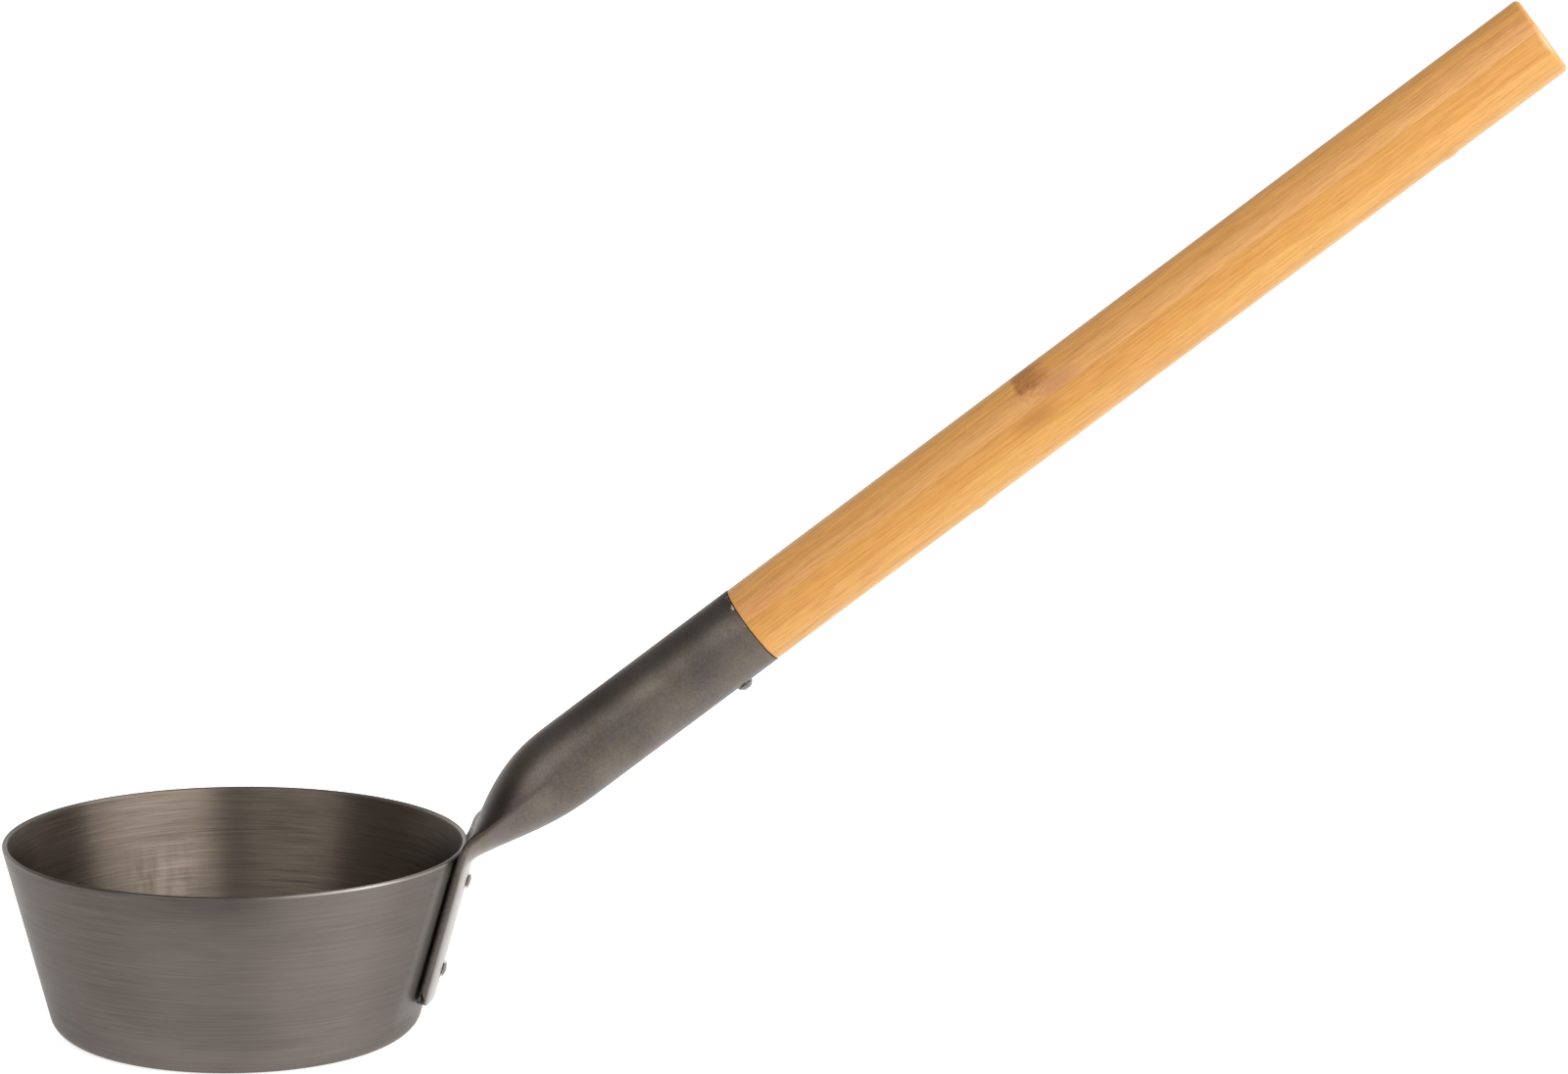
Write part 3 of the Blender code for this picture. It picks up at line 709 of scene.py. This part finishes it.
grip_end = seat_gap + grip_length
beyond_grip = 2 * grip_radius
bpy.ops.object.select_all(action="DESELECT")
bpy.ops.mesh.primitive_cylinder_add(
    vertices=grip_sides, radius=grip_radius, depth=grip_length,
    location=(0, 0, seat_gap + grip_length / 2),
)
blank = bpy.context.object
bpy.ops.object.transform_apply()
bpy.ops.object.mode_set(mode="EDIT")
pick(blank, "edges", lambda edge: min(end.co.z for end in edge.verts) > grip_end - same_place)
bpy.ops.mesh.bevel(offset=grip_end_radius, segments=grip_end_steps)
pick(blank, "edges", lambda edge: max(end.co.z for end in edge.verts) < seat_gap + same_place)
bpy.ops.mesh.bevel(offset=shoulder_chamfer, segments=2)
pick(blank, "faces", lambda face: face.normal.z < straight_down and len(face.verts) == grip_sides)
bpy.ops.mesh.inset(thickness=grip_radius - shoulder_chamfer - tenon_radius)
extrude_to(-tenon_length - seat_gap, 1, -tenon_length)
bpy.ops.mesh.bevel(offset=shoulder_chamfer, segments=2)
bpy.ops.object.mode_set(mode="OBJECT")
for point in blank.data.vertices:
    if point.co.z > grip_end - grip_end_radius - same_place:
        point.co.z -= point.co.y * math.tan(grip_end_skew)

band_cells = (4, 350, 350)  # cells of noise in each metre, along and across the grip
streak_cells = (28, 1900, 1900)
dash_cells = (140, 2700, 2700)
drift_cells = (14, 110, 110)
rosy = (1.0, 0.982, 0.985, 1)
yellow = (1.0, 1.015, 0.935, 1)
bamboo_fibres, fibres_in = new_group(
    "bamboo_fibres",
    {"Place": "Vector", "Shift": "Vector", "Flesh": "Color", "Pale": "Color", "Fibre": "Color"},
    {"Colour": "Color", "Streaks": "Float"},
)
strip_place = vector_math(bamboo_fibres, "ADD", fibres_in["Place"], fibres_in["Shift"])[0]
bands = stretched_noise(bamboo_fibres, strip_place, band_cells, 3, 0.6)
streaks = stretched_noise(bamboo_fibres, strip_place, streak_cells, 4, 0.7)
dashes = stretched_noise(bamboo_fibres, strip_place, dash_cells, 3, 0.65)
drift = stretched_noise(bamboo_fibres, strip_place, drift_cells, 2)
banded = ramp(bamboo_fibres, bands, 0.35, 0.68)
cane = mix_colour(bamboo_fibres, banded, fibres_in["Flesh"], fibres_in["Pale"])
streaked = ramp(bamboo_fibres, streaks, 0.45, 0.65, 0, 0.75)
cane = mix_colour(bamboo_fibres, streaked, cane, fibres_in["Fibre"])
dashed = ramp(bamboo_fibres, dashes, 0.5, 0.66, 0, 0.7)
cane = mix_colour(bamboo_fibres, dashed, cane, fibres_in["Fibre"])
lightened = ramp(bamboo_fibres, dashes, 0.49, 0.33, 0, 0.75)
cane = mix_colour(bamboo_fibres, lightened, cane, fibres_in["Pale"])
tint = mix_colour(bamboo_fibres, ramp(bamboo_fibres, drift, 0.35, 0.65), rosy, yellow)
cane = mix_colour(bamboo_fibres, 1.0, cane, tint, "MULTIPLY")
group_outputs(bamboo_fibres, {"Colour": cane, "Streaks": mix_values(bamboo_fibres, 0.5, streaks, dashes)})

# A joint of the cane is a brown stain above a lowest level, with rings round a knot and a soft haze below.
wander_cells = (250, 700, 700)
mottle_cells = (500, 1600, 1600)
edge_wander = 0.8 * mm
stain_edge = (-0.5 * mm, 0.6 * mm)
knot_stretch = 0.55  # a knot's height against its length
knot_fade = (5.5 * mm, 0.5 * mm)
ring_width = 1 * mm
haze_height = (-5.5 * mm, 1 * mm)
cane_joint, joint_in = new_group(
    "cane_joint",
    {
        "Place": "Vector", "Colour": "Color", "Mark": "Color", "Along": "Float", "Half length": "Float",
        "Lowest": "Float", "Stain": "Float", "Rings": "Float", "Haze": "Float",
    },
    {"Colour": "Color"},
)
joint_axes = add_node(cane_joint, "ShaderNodeSeparateXYZ", {0: joint_in["Place"]}).outputs
wander = stretched_noise(cane_joint, joint_in["Place"], wander_cells, 3, 0.65)
wander = ramp(cane_joint, wander, 0.3, 0.7, -edge_wander, edge_wander)
beside = arithmetic(cane_joint, "SUBTRACT", joint_axes["X"], joint_in["Along"])
above_lowest = arithmetic(cane_joint, "SUBTRACT", joint_axes["Z"], joint_in["Lowest"])
stain_beside = arithmetic(cane_joint, "ADD", beside, wander)
stain_share = arithmetic(cane_joint, "DIVIDE", stain_beside, joint_in["Half length"])
stain_above = arithmetic(cane_joint, "ADD", above_lowest, wander)
mottles = stretched_noise(cane_joint, joint_in["Place"], mottle_cells, 2)
stain = product(
    cane_joint, ramp(cane_joint, stain_share, -1.1, -0.85), ramp(cane_joint, stain_share, 1.3, 0.1),
    ramp(cane_joint, stain_above, *stain_edge), ramp(cane_joint, mottles, 0.3, 0.62, 0.65, 1.0),
    joint_in["Stain"],
)
knot_beside = arithmetic(cane_joint, "MULTIPLY", beside, knot_stretch)
from_knot = add_node(cane_joint, "ShaderNodeCombineXYZ", {"X": knot_beside, "Z": above_lowest}).outputs[0]
knot_radius = vector_length(cane_joint, from_knot)
ring_radius = arithmetic(cane_joint, "ADD", knot_radius, wander)
ring_turn = arithmetic(cane_joint, "MULTIPLY", ring_radius, 2 * math.pi / ring_width)
rings = product(
    cane_joint, ramp(cane_joint, arithmetic(cane_joint, "SINE", ring_turn), -0.2, 0.9),
    ramp(cane_joint, knot_radius, *knot_fade), joint_in["Rings"],
)
haze_share = arithmetic(cane_joint, "DIVIDE", beside, joint_in["Half length"])
haze_along = ramp(cane_joint, haze_share, -0.6, 3.0, -1, 1)
haze_above = ramp(cane_joint, above_lowest, *haze_height, -1, 1)
from_haze = add_node(cane_joint, "ShaderNodeCombineXYZ", {"X": haze_along, "Z": haze_above}).outputs[0]
haze = ramp(cane_joint, vector_length(cane_joint, from_haze), 1.0, 0.2)
marked = mix_colour(cane_joint, stain, joint_in["Colour"], joint_in["Mark"])
marked = mix_colour(cane_joint, rings, marked, joint_in["Mark"])
marked = mix_colour(cane_joint, product(cane_joint, haze, joint_in["Haze"]), marked, joint_in["Mark"])
group_outputs(cane_joint, {"Colour": marked})

# A painted highlight bows out along the grip's rounded edge, and its outermost rim is left as it was.
end_highlight_cream = (0.62, 0.43, 0.24, 1)
end_highlight_depth = 2.2 * mm  # along the grip
end_highlight_half = 5.5 * mm  # of its height
end_highlight_drop = 0.5 * mm  # of its middle below the grip's axis
end_highlight_rim = (-0.15 * mm, -0.5 * mm)
end_highlight_ring = (grip_radius - 2 * mm, grip_radius - 1 * mm)
painted_end_highlight, end_highlight_in = new_group("painted_end_highlight", {"Place": "Vector", "Colour": "Color"}, {"Colour": "Color"})
end_highlight_axes = add_node(painted_end_highlight, "ShaderNodeSeparateXYZ", {0: end_highlight_in["Place"]}).outputs
skewed = arithmetic(painted_end_highlight, "MULTIPLY", end_highlight_axes["Y"], math.tan(grip_end_skew))
squared = arithmetic(painted_end_highlight, "SUBTRACT", end_highlight_axes["X"], skewed)
from_end = arithmetic(painted_end_highlight, "SUBTRACT", squared, grip_end)
end_highlight_above = arithmetic(painted_end_highlight, "ADD", end_highlight_axes["Z"], end_highlight_drop)
end_highlight_share = arithmetic(painted_end_highlight, "ABSOLUTE", arithmetic(painted_end_highlight, "DIVIDE", end_highlight_above, end_highlight_half))
end_highlight_reach = ramp(painted_end_highlight, arithmetic(painted_end_highlight, "POWER", end_highlight_share, 2), 0, 1, end_highlight_depth, 0)
end_highlight = ramp(painted_end_highlight, arithmetic(painted_end_highlight, "ADD", from_end, end_highlight_reach), 0, 0.75 * end_highlight_depth)
across_grip = vector_math(painted_end_highlight, "MULTIPLY", end_highlight_in["Place"], (0, 1, 1))[0]
end_highlight = product(
    painted_end_highlight, arithmetic(painted_end_highlight, "POWER", end_highlight, 1.5),
    ramp(painted_end_highlight, vector_length(painted_end_highlight, across_grip), *end_highlight_ring), ramp(painted_end_highlight, from_end, *end_highlight_rim),
)
group_outputs(painted_end_highlight, {"Colour": mix_colour(painted_end_highlight, end_highlight, end_highlight_in["Colour"], end_highlight_cream)})

bamboo_roughness = (0.36, 0.5)
fibre_depth = 0.05 * mm


def bamboo(name, shift, flesh, pale, fibre, joints):
    """Oiled bamboo for one strip, with the brown marks where it crosses the joints of the cane."""
    made, tree, shader = new_material(
        name, IOR=1.46, Specular_IOR_Level=0.25, Coat_Weight=0.15, Coat_Roughness=0.2,
    )
    place = add_node(tree, "ShaderNodeTexCoord").outputs["Object"]
    turned = add_node(
        tree, "ShaderNodeMapping",
        {"Vector": place, "Location": (mouth[0], 0, mouth[1]), "Rotation": (0, -tube_rise, 0)},
        vector_type="TEXTURE",
    ).outputs[0]
    cane = add_node(tree, "ShaderNodeGroup", node_tree=bamboo_fibres)
    tree.links.new(turned, cane.inputs["Place"])
    for label, value in (("Shift", shift), ("Flesh", flesh), ("Pale", pale), ("Fibre", fibre)):
        cane.inputs[label].default_value = value
    colour = cane.outputs["Colour"]
    for values in joints:
        joint = add_node(tree, "ShaderNodeGroup", node_tree=cane_joint)
        tree.links.new(turned, joint.inputs["Place"])
        tree.links.new(colour, joint.inputs["Colour"])
        for label, value in values.items():
            joint.inputs[label].default_value = value
        colour = joint.outputs["Colour"]
    # painted highlight on the grip's rounded end
    end_highlight = add_node(tree, "ShaderNodeGroup", node_tree=painted_end_highlight)
    tree.links.new(turned, end_highlight.inputs["Place"])
    tree.links.new(colour, end_highlight.inputs["Colour"])
    tree.links.new(end_highlight.outputs["Colour"], shader.inputs["Base Color"])
    rough = ramp(tree, cane.outputs["Streaks"], 0.3, 0.7, *bamboo_roughness)
    tree.links.new(rough, shader.inputs["Roughness"])
    bump = add_node(
        tree, "ShaderNodeBump",
        {"Strength": 0.3, "Distance": fibre_depth, "Height": cane.outputs["Streaks"]},
    )
    tree.links.new(bump.outputs[0], shader.inputs["Normal"])
    return made


brown_mark = (0.335, 0.125, 0.037, 1)
rosy_mark = (0.44, 0.195, 0.08, 1)
tan_mark = (0.47, 0.22, 0.06, 1)
streak_brown = (0.37, 0.152, 0.037, 1)
below_knot = {
    "Mark": streak_brown, "Along": 85 * mm, "Half length": 5 * mm, "Lowest": 2.4 * mm, "Haze": 0.6,
}
knot = {"Along": 95.2 * mm, "Half length": 4.6 * mm, "Lowest": 6.4 * mm}
ridges = (66 * mm, 213 * mm)
ridge_marks = [
    {"Mark": tan_mark, "Along": along, "Half length": 2 * mm, "Lowest": -beyond_grip, "Stain": 0.25}
    for along in ridges
]
# Partly painted light: the upper strips are made lighter and the bottom strip darker, to even out how the
# light falls.
strip_looks = {
    "bottom": {
        "flesh": (0.524, 0.267, 0.0677, 1),
        "pale": (0.558, 0.302, 0.0844, 1),
        "fibre": (0.407, 0.183, 0.0387, 1),
        "joints": ridge_marks,
    },
    "lower": {
        "flesh": (0.569, 0.29, 0.0789, 1),
        "pale": (0.602, 0.326, 0.0975, 1),
        "fibre": (0.447, 0.196, 0.05, 1),
        "joints": [],
    },
    "core": {
        "flesh": (0.563, 0.268, 0.0676, 1),
        "pale": (0.59, 0.297, 0.0809, 1),
        "fibre": (0.444, 0.194, 0.0433, 1),
        "joints": [below_knot],
    },
    "upper": {
        "flesh": (0.605, 0.3, 0.1, 1),
        "pale": (0.643, 0.332, 0.117, 1),
        "fibre": (0.48, 0.215, 0.066, 1),
        "joints": [
            {"Mark": brown_mark, **knot, "Stain": 0.95},
            {"Mark": rosy_mark, **knot, "Rings": 0.8, "Haze": 0.7},
            below_knot,
        ],
    },
    "top": {
        "flesh": (0.675, 0.333, 0.0993, 1),
        "pale": (0.715, 0.366, 0.118, 1),
        "fibre": (0.52, 0.233, 0.0606, 1),
        "joints": [{"Mark": brown_mark, **knot, "Stain": 0.85}],
    },
}
glue_lines = [-beyond_grip, *(strip_thickness * k for k in (-1.5, -0.5, 0.5, 1.5)), beyond_grip]
fibre_shift = (0.37, 0.113, 0.071)  # metres between the patterns of one strip and the next
strips = {}
for index, (name, looks) in enumerate(strip_looks.items()):
    low, high = glue_lines[index] + glue_film / 2, glue_lines[index + 1] - glue_film / 2
    select_only(blank)
    bpy.ops.object.duplicate()
    strip = bpy.context.object
    strip.name = f"grip_{name}_strip"
    bpy.ops.object.mode_set(mode="EDIT")
    for plane, outward in ((low, -1), (high, 1)):
        bpy.ops.mesh.select_mode(type="VERT")
        bpy.ops.mesh.select_all(action="SELECT")
        bpy.ops.mesh.bisect(
            plane_co=(plane, 0, 0), plane_no=(outward, 0, 0),
            use_fill=True, clear_outer=True, threshold=exact,
        )
    if name == "bottom":
        for along in ridges:
            for ring in np.linspace(-2, 2, ridge_rings):
                bpy.ops.mesh.select_all(action="SELECT")
                ring_place = (0, 0, along + ring * ridge_reach)
                bpy.ops.mesh.bisect(plane_co=ring_place, plane_no=(0, 0, 1), threshold=exact)
    bpy.ops.object.mode_set(mode="OBJECT")
    if name == "bottom":
        for point in strip.data.vertices:
            rise = sum(math.exp(-(((point.co.z - along) / ridge_reach) ** 2)) for along in ridges)
            below_seam = (high - point.co.x) / (high + grip_radius)
            if math.hypot(point.co.x, point.co.y) > grip_radius - same_place:
                point.co.x -= ridge_height * rise * below_seam
    shift = [part * index for part in fibre_shift]
    strip.data.materials.append(bamboo(f"bamboo_{name}", shift, **looks))
    seat(strip, mouth, above_tube, along_tube)
    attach(strip, "root")
    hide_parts(f"handle_{name}_strip")
    strips[name] = strip
bpy.data.objects.remove(blank)

# A round-head steel wood screw under the tube's mouth goes through the tube's wall into the tenon.
# Its head is domed, with a cross recess for the driver.
screw_from_mouth = 10.9 * mm
screw_head = 4.6 * mm
screw_head_height = 1.5 * mm
screw_shank = 2.6 * mm
screw_length = 12.5 * mm
screw_point = 3 * mm
screw_tip = 0.04  # width of the point's end against the shank
drive_width = 0.7 * mm
drive_span = 2.6 * mm
drive_depth = 0.9 * mm

screw = domed_head("cross_screw", screw_head, screw_head_height, 0, screw_shank, rivet_sides, dome_rings)
extrude_to(screw_point - screw_length, 1, screw_point - screw_length)
extrude_to(-screw_point, screw_tip, -screw_length)
bpy.ops.object.mode_set(mode="OBJECT")
for sides in ((drive_span, drive_width), (drive_width, drive_span)):
    bpy.ops.object.select_all(action="DESELECT")
    bpy.ops.mesh.primitive_cube_add(
        size=1, location=(0, 0, screw_head_height), scale=(*sides, 2 * drive_depth),
    )
    blade = bpy.context.object
    bpy.ops.object.transform_apply()
    apply_modifier(screw, "BOOLEAN", operation="DIFFERENCE", object=blade)
    bpy.data.objects.remove(blade)
screw.data.materials.append(rivet_steel)
screw_place = mouth - above_tube * (tube_radius + seat_gap) - along_tube * screw_from_mouth
screw_seat = (screw_place, along_tube, -above_tube)
seat(screw, *screw_seat)
bpy.ops.object.shade_smooth_by_angle(angle=crease)
screw_hole = (screw_shank + 2 * bore_gap, -screw_length - bore_gap, screw_head_height)
drill([tube, strips["bottom"], strips["lower"], strips["core"]], *screw_hole, *screw_seat)
for piece in (tube, *strips.values()):
    select_only(piece)
    bpy.ops.object.shade_smooth_by_angle(angle=crease)
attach(screw, "root")
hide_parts("handle_screw")

# The ladle stands on a plain white table that glows a little, as a light table does. The room is a soft
# grey, with a white backdrop low down behind. Two large soft boxes and a small one light it from the front
# and the right.
table_size = 24
table_drop = 0.05 * mm
table_colour = (0.88, 0.88, 0.87, 1)
glow_run = (-0.2, -0.04)  # from the front towards the back, in metres
glow_strength = (0.12, 0.72)
room_colour = (1, 0.97, 0.95, 1)
room_strength = (0.32, 1.3)  # of the grey and of the backdrop
backdrop_top = (0.36, 0.14)
backdrop_sides = (-0.1, 0.4)

bpy.ops.object.select_all(action="DESELECT")
bpy.ops.mesh.primitive_plane_add(size=table_size, location=(0, 0, -table_drop))
table = bpy.context.object
table.name = "table"
table_white, tree, shader = new_material(
    "table_white", Base_Color=table_colour, Roughness=0.9, Specular_IOR_Level=0.1, Emission_Strength=1.0,
)
place = add_node(tree, "ShaderNodeTexCoord").outputs["Object"]
axes = add_node(tree, "ShaderNodeSeparateXYZ", {0: place}).outputs
glow = ramp(tree, axes["Y"], *glow_run, *glow_strength)
glow_colour = add_node(tree, "ShaderNodeCombineColor", {0: glow, 1: glow, 2: glow}).outputs[0]
tree.links.new(glow_colour, shader.inputs["Emission Color"])
table.data.materials.append(table_white)

room = bpy.data.worlds.new("room")
room.use_nodes = True
tree = room.node_tree
sky = tree.nodes["Background"]
direction = add_node(tree, "ShaderNodeTexCoord").outputs["Generated"]
facing = add_node(tree, "ShaderNodeSeparateXYZ", {0: direction}).outputs
backdrop = product(tree, ramp(tree, facing["Z"], *backdrop_top), ramp(tree, facing["Y"], *backdrop_sides))
tree.links.new(ramp(tree, backdrop, 0, 1, *room_strength), sky.inputs["Strength"])
sky.inputs["Color"].default_value = room_colour
bpy.context.scene.world = room

light_target = Vector((0.13, 0, 0.1))
soft_boxes = {
    "left": {"place": (-1.3, -2.94, 1.91), "size": (3.39, 2.9), "radiance": 1.45},
    "right": {"place": (2.84, -1.7, 1.94), "size": (5.18, 3.77), "radiance": 3.2},
    "side": {"place": (2.87, -0.72, 1.6), "size": (0.8, 1.36), "radiance": 5.0},
}
for name, box in soft_boxes.items():
    lamp = bpy.data.lights.new(f"soft_box_{name}", "AREA")
    lamp.shape = "RECTANGLE"
    lamp.size, lamp.size_y = box["size"]
    lamp.energy = box["radiance"] * math.pi * lamp.size * lamp.size_y
    holder = bpy.data.objects.new(lamp.name, lamp)
    bpy.context.scene.collection.objects.link(holder)
    holder.location = box["place"]
    holder.rotation_euler = (light_target - Vector(box["place"])).to_track_quat("-Z", "Y").to_euler()
    holder.visible_camera = False

# The camera stands a little over a metre off and a little higher than the end of the grip, as for the
# photograph. Its lens and turn put the ladle where it is in the photograph.
camera_place = (158.1 * mm, -1109.9 * mm, 328.1 * mm)
camera_turn = math.radians(0.89)
camera_drop = math.radians(9.988)
camera_roll = math.radians(1.032)
film_width = 36  # in millimetres, as the focal length is
focal_length = 101.09
farthest_seen = 100  # metres

camera_data = bpy.data.cameras.new("camera")
camera_data.sensor_fit = "HORIZONTAL"
camera_data.sensor_width = film_width
camera_data.lens = focal_length
camera_data.clip_end = farthest_seen
camera = bpy.data.objects.new("camera", camera_data)
bpy.context.scene.collection.objects.link(camera)
camera.matrix_world = (
    Matrix.Translation(camera_place)
    @ Matrix.Rotation(camera_turn, 4, "Z")
    @ Matrix.Rotation(math.pi / 2 - camera_drop, 4, "X")
    @ Matrix.Rotation(camera_roll, 4, "Z")
)
bpy.context.scene.camera = camera
bpy.context.scene.view_settings.view_transform = "Standard"
